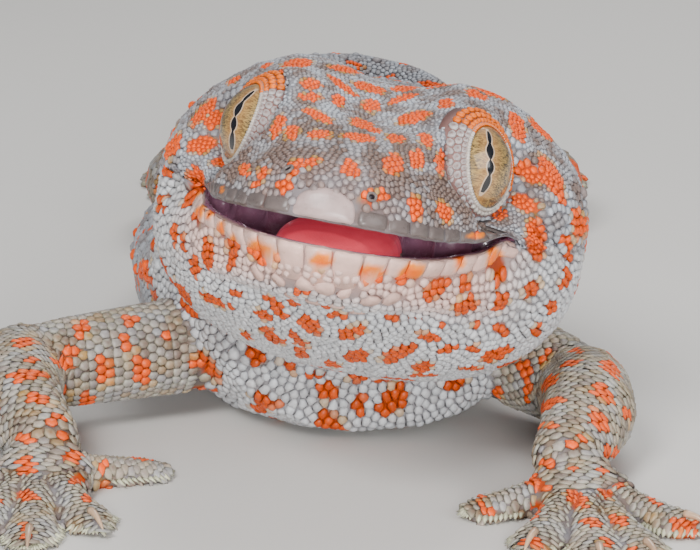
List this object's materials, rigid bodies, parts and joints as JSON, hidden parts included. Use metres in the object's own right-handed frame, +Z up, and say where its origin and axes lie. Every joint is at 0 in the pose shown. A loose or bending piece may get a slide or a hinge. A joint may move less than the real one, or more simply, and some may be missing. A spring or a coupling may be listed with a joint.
{
  "type": "tokay gecko",
  "caption": "Life-size still model of a tokay gecko resting on its belly, head raised and mouth slightly open, in grey-blue scaly skin with orange spots.",
  "frame": {"origin": "on the floor level under the middle of the belly, where the belly rests flat", "axes": "+Z up, -Y the way the head faces, +X the animal's left"},
  "size_m": [0.0771, 0.2319, 0.0416],
  "materials": {
    "skin": "small dry scales, grey-blue with orange spots",
    "eye": "wet and glossy",
    "tongue": "moist"
  },
  "bodies": {
    "root": {"head": "skin", "lower_jaw": "skin", "neck": "skin", "torso": "skin", "tail_base": "skin", "tail_middle": "skin", "tail_tip": "skin", "left_upper_arm": "skin", "left_forearm": "skin", "left_hand": "skin", "left_thigh": "skin", "left_shin": "skin", "left_foot": "skin", "right_upper_arm": "skin", "right_forearm": "skin", "right_hand": "skin", "right_thigh": "skin", "right_shin": "skin", "right_foot": "skin", "eye_left": "eye", "eye_right": "eye", "tongue": "tongue"}
  },
  "joints": []
}
